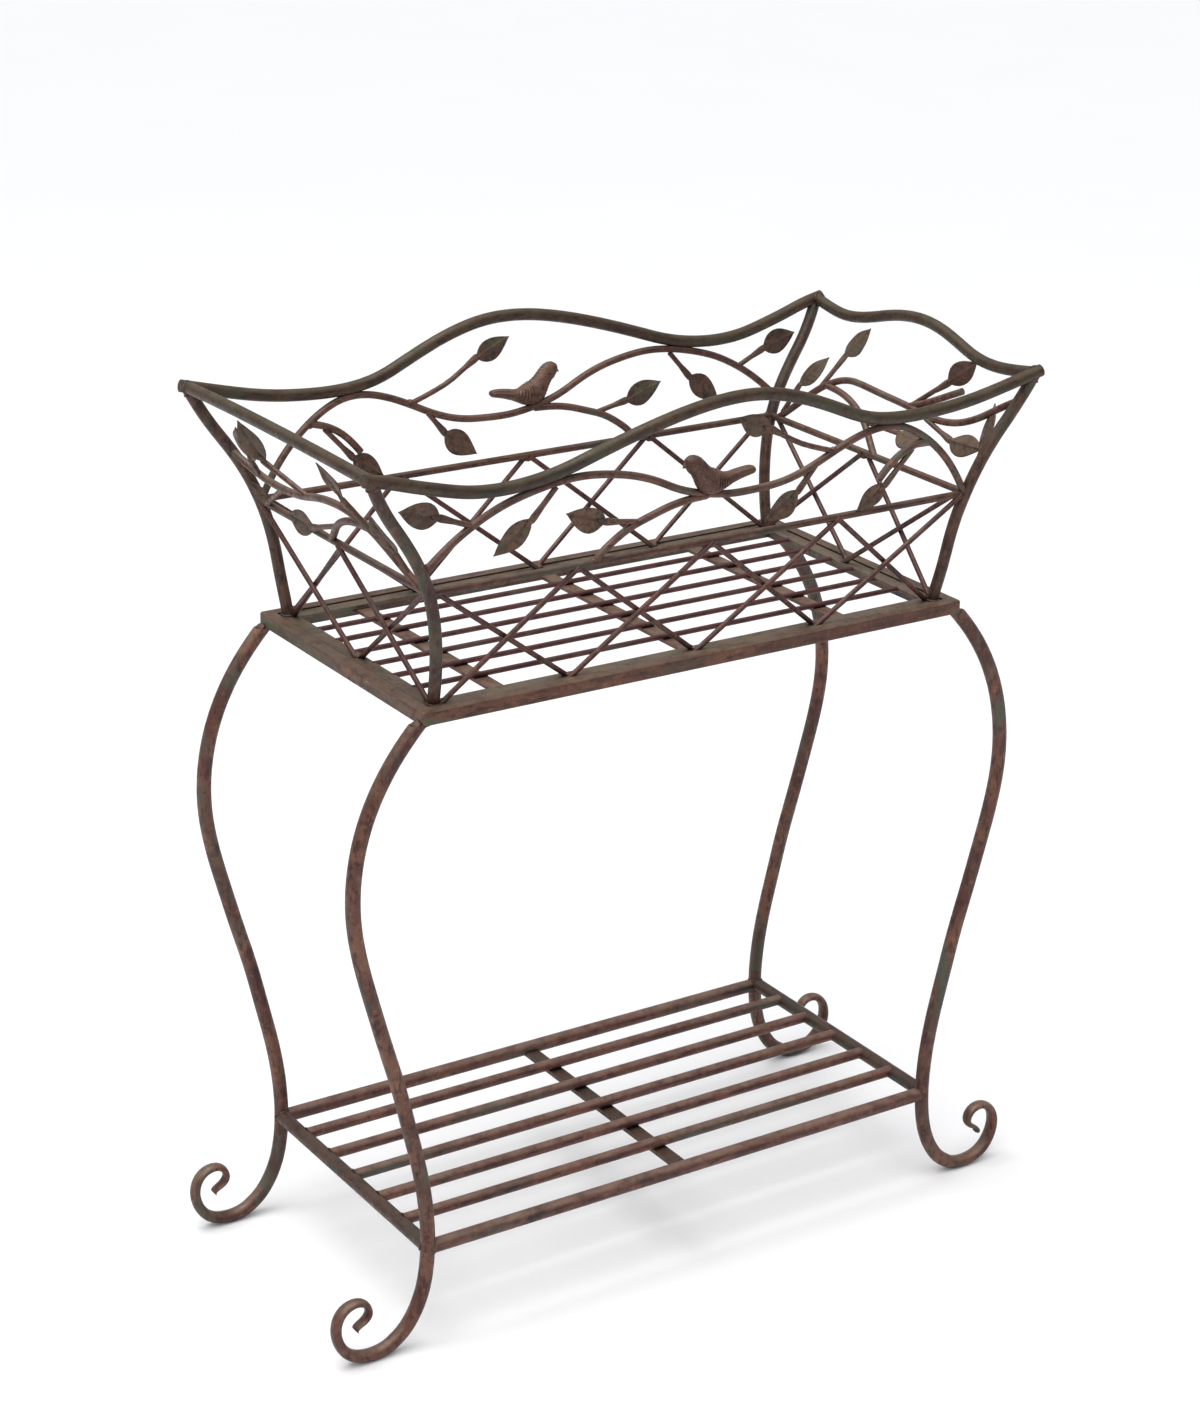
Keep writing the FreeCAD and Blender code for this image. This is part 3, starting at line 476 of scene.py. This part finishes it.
def bird_mesh(side):
    bm = bmesh.new()
    c, e, u, n = local(side, 0, 757)

    def at(h, z, o=0.0):
        return c + e * h + u * ((z - 757) / u.z) + n * (2.0 + o)
    S = spline(BODY, 252)
    M = 60
    rings = []
    for i, (h, z, a, b) in enumerate(S):
        h2, z2 = (S[i + 1][0], S[i + 1][1]) if i + 1 < len(S) else (h, z)
        h1, z1 = (S[i - 1][0], S[i - 1][1]) if i else (h, z)
        t = (at(h2, z2) - at(h1, z1)).normalized()
        up = n.cross(t).normalized()
        if up.z < 0:
            up = -up
        ring = []
        f = i / (len(S) - 1)
        for k in range(M):
            th = 2 * math.pi * k / M
            ca, sa = math.cos(th), math.sin(th)
            r = 1.0
            # folded wing: raised oval on each flank with ribs of feathers across it
            flank = abs(sa) ** 0.7 * (1.0 if ca > -0.45 else max(0.0, 1 + (ca + 0.45) * 4.0))
            wing = math.exp(-((h + 1.0) / 13.0) ** 4) * flank
            quill = math.exp(-((h - 0.5) / 9.5) ** 4) * flank * math.exp(-((ca - 0.1) / 0.72) ** 4)
            r += 0.075 * wing + 0.28 * quill * (abs(math.sin(math.pi * (h + ca * 1.2) / 2.9)) ** 0.6 - 0.6)
            # scaly feathers on head and breast
            r += 0.020 * math.sin(h * 3.3 + math.cos(th * 9) * 1.5) * (1.0 if h < -9 else 0.0)
            # tail feathers run lengthwise
            if h > 11:
                r += 0.05 * math.cos(th * 8) * min(1, (h - 11) * 0.2) * min(1, (35.6 - h) * 0.4)
            # breast down
            r += 0.012 * noise.noise(V((h * 0.6, ca * 5, sa * 5)))
            ring.append(at(h, z) + up * (a * ca * r) + n * (b * sa * r))
        rings.append(ring)
    lofted(bm, rings)
    # beak: short cone, a little hooked
    bk = [(-34.4, 774.6, 2.8, 2.5), (-36.4, 774.0, 2.1, 1.9), (-37.9, 773.2, 1.3, 1.15), (-38.9, 772.2, 0.45, 0.4)]
    rings = []
    for h, z, a, b in bk:
        rings.append([at(h, z) + u * (a * math.cos(6.2832 * k / 16)) + n * (b * math.sin(6.2832 * k / 16)) for k in range(16)])
    lofted(bm, rings)
    # eyes: small domes set in the head
    for s in (-1, 1):
        rings = []
        for k in range(6):
            p = k / 5 * math.pi / 2
            rr, hh = 1.15 * math.cos(p) + 0.02, 0.75 * math.sin(p)
            rings.append([at(-31.0, 777.4) + n * (s * (5.6 + hh)) + e * (rr * math.cos(6.2832 * j / 14)) + u * (rr * math.sin(6.2832 * j / 14)) for j in range(14)])
        lofted(bm, rings)
    bmesh.ops.recalc_face_normals(bm, faces=bm.faces)
    me = bpy.data.meshes.new("bird_casting_" + side)
    bm.to_mesh(me)
    bm.free()
    return me


for side in ("front", "rear"):
    piece("bird_casting_" + side, bird_mesh(side), "bird", ("bird_" + side,))


# ------------------------------------------------------------------ weld beads
def blob(bm, p, r, axis=None, squash=0.8, seed=0, amp=0.16):
    """lumpy weld bead about p, r across in mm"""
    tmp = bmesh.new()
    bmesh.ops.create_icosphere(tmp, subdivisions=3, radius=1.0)
    ax = (axis or V((0, 0, 1))).normalized()
    rot = ax.to_track_quat("Z", "Y").to_matrix()
    pos = {}
    for v in tmp.verts:
        d = v.co.normalized()
        k = 1.0 + amp * noise.noise(d * 1.9 + V((seed * 3.1, seed * 1.7, 0))) + 0.5 * amp * noise.noise(d * 5.0 + V((seed, 0, 7)))
        w = V((d.x, d.y, d.z * squash)) * (r * k)
        pos[v.index] = bm.verts.new((p + rot @ w) * MM)
    for f in tmp.faces:
        bm.faces.new([pos[v.index] for v in f.verts])
    tmp.free()


def beads(name, items):
    bm = bmesh.new()
    for i, it in enumerate(items):
        p, r, ax, sq = (list(it) + [None, 0.8])[:4] if len(it) < 4 else it
        blob(bm, V(p), r, V(ax) if ax else None, sq, seed=i + len(name))
    bmesh.ops.recalc_face_normals(bm, faces=bm.faces)
    me = bpy.data.meshes.new(name)
    bm.to_mesh(me)
    bm.free()
    return piece(name, me, "weld")


def seam(bm, pts, r, seed=0, closed=True):
    """rippled weld run along a line of points, r in mm"""
    N, M = len(pts), 10
    mid = sum(pts, V((0, 0, 0))) / N
    rows = []
    for i, p in enumerate(pts):
        a = pts[(i - 1) % N] if closed else pts[max(0, i - 1)]
        b = pts[(i + 1) % N] if closed else pts[min(N - 1, i + 1)]
        t = (b - a).normalized()
        o = (p - mid)
        o = (o - t * o.dot(t)).normalized()
        w = t.cross(o)
        k = 1.0 + 0.22 * noise.noise(p * 0.35 + V((seed, 0, 0))) + 0.14 * math.sin(i * 2.2 + seed) + 0.12 * noise.noise(p * 1.3)
        rows.append([bm.verts.new((p + (o * math.cos(6.2832 * j / M) + w * math.sin(6.2832 * j / M)) * (r * k)) * MM) for j in range(M)])
    for i in range(N if closed else N - 1):
        a, b = rows[i], rows[(i + 1) % N]
        for j in range(M):
            bm.faces.new((a[j], a[(j + 1) % M], b[(j + 1) % M], b[j]))
    if not closed:
        bm.faces.new(rows[0][::-1])
        bm.faces.new(rows[-1])


def welds(name, runs, lumps=()):
    bm = bmesh.new()
    for i, (pts, r) in enumerate(runs):
        seam(bm, pts, r, seed=i + len(name))
    for i, (p, r, ax, sq) in enumerate(lumps):
        blob(bm, V(p), r, V(ax), sq, seed=i + len(name), amp=0.22)
    bmesh.ops.recalc_face_normals(bm, faces=bm.faces)
    me = bpy.data.meshes.new(name)
    bm.to_mesh(me)
    bm.free()
    return piece(name, me, "weld")


TURNS = [2 * math.pi * i / 40 for i in range(40)]

# the stem of the leaf under the crest runs on to the vine
for side in ("front", "rear"):
    bm = bmesh.new()
    run = [SURF[side](h, z) for h, z in ((70, 782.2), (74, 780), (84, 775.2), (95, 771.0), (107, 767.0), (117, 764.0), (122, 763.4))]
    rings = []
    for i in range(61):
        f = i / 60 * (len(run) - 1)
        k = min(int(f), len(run) - 2)
        t0 = run[k + 1] - run[k]
        tn = (run[min(k + 2, len(run) - 1)] - run[min(k + 1, len(run) - 2)])
        t = t0.lerp(tn, f - k).normalized()
        pc = run[k].lerp(run[k + 1], f - k)
        x = t.cross(V((0, 1, 0))).normalized()
        y = t.cross(x)
        r = 2.25 + 0.18 * min(1.0, i / 6) + 0.05 * math.sin(i * 0.9)
        rings.append([pc + x * (r * math.cos(6.2832 * j / 20)) + y * (r * math.sin(6.2832 * j / 20)) for j in range(20)])
    lofted(bm, rings)
    blob(bm, run[-1] - (run[-1] - run[-2]) * 0.5, 3.4, run[-1] - run[-2], 1.3, seed=3, amp=0.2)
    bmesh.ops.recalc_face_normals(bm, faces=bm.faces)
    me = bpy.data.meshes.new("leaf_stem_run_" + side)
    bm.to_mesh(me)
    bm.free()
    piece("leaf_stem_run_" + side, me, "vine")
rim_w, post_w, foot_w, shelf_w, legtop_w, legtop_l = [], [], [], [], [], []
mx, my = flare(700.0)
for sx in (-1, 1):
    for sy in (-1, 1):
        # short rim butted on the long rim
        rim_w.append(([V((sx * 334.9 + 5.4 * math.cos(f), sy * (162.4 - math.sqrt(max(0.3, 5.6 ** 2 - (5.4 * math.sin(f)) ** 2))),
                          805.8 + 5.4 * math.sin(f))) for f in TURNS], 0.9))
        # post under the rims
        d = V((sx * 14.2, sy * 5.2, 27.0)).normalized()
        e1 = d.cross(V((0, 1, 0))).normalized()
        e2 = d.cross(e1)
        cp = V((sx * 334.9, sy * 162.5, 805.8)) - d * 6.4
        rim_w.append(([cp + e1 * (5.35 * math.cos(f)) + e2 * (5.35 * math.sin(f)) for f in TURNS], 0.95))
        # mid rails on the post
        post_w.append(([V((sx * (mx - math.sqrt(5.3 ** 2 - (3.25 * math.cos(f)) ** 2)), sy * my + 3.25 * math.cos(f), 700 + 3.25 * math.sin(f))) for f in TURNS], 0.85))
        post_w.append(([V((sx * mx + 3.25 * math.cos(f), sy * (my - math.sqrt(5.3 ** 2 - (3.25 * math.cos(f)) ** 2)), 700 + 3.25 * math.sin(f))) for f in TURNS], 0.85))
        # post on the tray ring
        foot_w.append(([V((sx * 260.15 + 5.4 * math.cos(f), sy * 128.25 + 5.4 * math.sin(f), 596.9)) for f in TURNS], 1.05))
        # long and short shelf rails on the leg
        shelf_w.append(([V((sx * (274.3 - 6.65 * abs(math.sin(f))) - sx * 0.1, sy * 138.3 + 6.6 * math.cos(f), 95.0 + 6.6 * math.sin(f))) for f in TURNS if abs(math.sin(f)) > 0.12], 0.95))
        shelf_w.append(([V((sx * 274.3 + 6.6 * math.cos(f), sy * (138.3 - 6.65 * abs(math.sin(f))) - sy * 0.1, 96.6 + 6.6 * math.sin(f))) for f in TURNS if abs(math.sin(f)) > 0.12], 0.95))
        # leg under the corner of the frame, with the bead drawn up its outer side
        legtop_w.append(([V((sx * min(279.9, 279.2 + 9.0 * math.cos(f)), sy * (138.3 + 6.7 * math.sin(f)), 585.3)) for f in TURNS], 1.05))
        legtop_l.append(((sx * 282.6, sy * 138.3, 584.7), 5.9, (sx * 0.70, 0, 0.71), 0.46))
    # slats coped on the short rail
    for y in (-91.0, -45.5, 0.0, 45.5, 91.0):
        run = []
        for f in TURNS:
            zz = 1.9 + 5.3 * math.sin(f)
            run.append(V((sx * min(271.2, 274.3 - math.sqrt(max(0.0, 6.6 ** 2 - zz * zz))), y + 5.3 * math.cos(f), 98.5 + 5.3 * math.sin(f))))
        shelf_w.append((run, 0.8))
welds("weld_rim_corners", rim_w)
welds("weld_post_nodes", post_w)
welds("weld_post_feet", foot_w)
welds("weld_shelf_joints", shelf_w)
welds("weld_leg_tops", legtop_w, legtop_l)

# small beads where lattice rods reach the mid rail and the tray ring
lat = []
for side in ("front", "rear"):
    for h in (-134.0, 0.0, 133.0):
        lat.append((SURF[side](h, 697.0), 2.9, (1, 0, 0), 1.5))
    for h in (-129.0, -1.0, 128.0):
        lat.append((SURF[side](h, 597.6, -0.3), 3.1, (0, 0, 1), 0.75))
for side in ("left", "right"):
    lat.append((SURF[side](0.0, 697.0), 2.9, (0, 1, 0), 1.5))
    lat.append((SURF[side](0.0, 597.6, -0.3), 3.1, (0, 0, 1), 0.75))
beads("weld_lattice_nodes", lat)

vine_j = []
for side in ("front", "rear"):
    for h, z, r, a, sq in ((-12, 743.6, 3.8, (1, 0, 0), 1.9), (222, 758.2, 3.5, (1, 0, -0.6), 1.2), (-118, 700.6, 3.7, (1, 0, 0), 1.2),
                           (-277, 722, 3.7, (0, 0, 1), 1.2), (272, 702, 3.8, (0, 0, 1), 1.2)):
        vine_j.append((SURF[side](h, z), r, a, sq))
beads("weld_vine_nodes", vine_j)


# ------------------------------------------------------------------ stage
def stage_mesh(name, verts, faces, mat):
    me = bpy.data.meshes.new(name)
    me.from_pydata(verts, [], faces)
    o = bpy.data.objects.new(name, me)
    scene.collection.objects.link(o)
    me.materials.append(mat)
    return o


g = Graph("floor_white")
g.bsdf.inputs["Base Color"].default_value = (0.92, 0.92, 0.93, 1)
v = g.coords()
g.link(g.ramp(g.noise(v, 2.5, 3.0), 0.2, 0.8, 0.62, 0.72), g.bsdf.inputs["Roughness"])
g.bsdf.inputs["Specular IOR Level"].default_value = 0.2
stage_mesh("floor", [(-30, -30, 0), (30, -30, 0), (30, 30, 0), (-30, 30, 0)], [(0, 1, 2, 3)], g.mat)

# ------------------------------------------------------------------ light
w = bpy.data.worlds.new("studio")
scene.world = w
w.use_nodes = True
wt = w.node_tree
bg = wt.nodes["Background"]
bg.inputs["Color"].default_value = (0.98, 0.99, 1.0, 1)
bg.inputs["Strength"].default_value = 0.50


def area(name, loc, aim, size, power, color=(1, 1, 1), size_y=None):
    L = bpy.data.lights.new(name, "AREA")
    L.shape = "RECTANGLE"
    L.size = size
    L.size_y = size_y or size
    L.energy = power
    L.color = color
    o = bpy.data.objects.new(name, L)
    scene.collection.objects.link(o)
    o.location = loc
    o.rotation_mode = "QUATERNION"
    o.rotation_quaternion = (V(aim) - V(loc)).to_track_quat("-Z", "Y")
    return o


area("soft_top", (-0.7, 0.4, 2.9), (0, 0, 0.45), 1.5, 22)
area("soft_front", (-1.9, -2.6, 2.4), (0, 0, 0.5), 1.4, 20, (1.0, 0.985, 0.96))

sun = bpy.data.lights.new("overhead_sky_panel", "SUN")
sun.energy = 1.95
sun.angle = math.radians(55)
so = bpy.data.objects.new("overhead_sky_panel", sun)
scene.collection.objects.link(so)
so.rotation_mode = "QUATERNION"
so.rotation_quaternion = V((0.30, 0.18, -1.0)).to_track_quat("-Z", "Y")

# ------------------------------------------------------------------ camera
cam = bpy.data.cameras.new("camera")
cam.sensor_width = 36.0
cam.sensor_fit = "AUTO"
cam.lens = 3071.16102 * 36.0 / 1426.0
cam.shift_x = (600.0 - 596.960708) / 1426.0
cam.shift_y = (714.675785 - 713.0) / 1426.0
cam.dof.use_dof = False
cam.clip_start, cam.clip_end = 0.05, 100.0
co = bpy.data.objects.new("camera", cam)
scene.collection.objects.link(co)
right = V((0.84061793, -0.54142044, 0.01501319))
down = V((-0.18306183, -0.31009374, -0.93291491))
fwd = V((0.5097547, 0.78147667, -0.35978378))
co.matrix_world = Matrix((
    (right.x, -down.x, -fwd.x, -1.43002469),
    (right.y, -down.y, -fwd.y, -2.16741203),
    (right.z, -down.z, -fwd.z, 1.49432973),
    (0, 0, 0, 1)))
scene.camera = co
scene.view_settings.view_transform = "Standard"
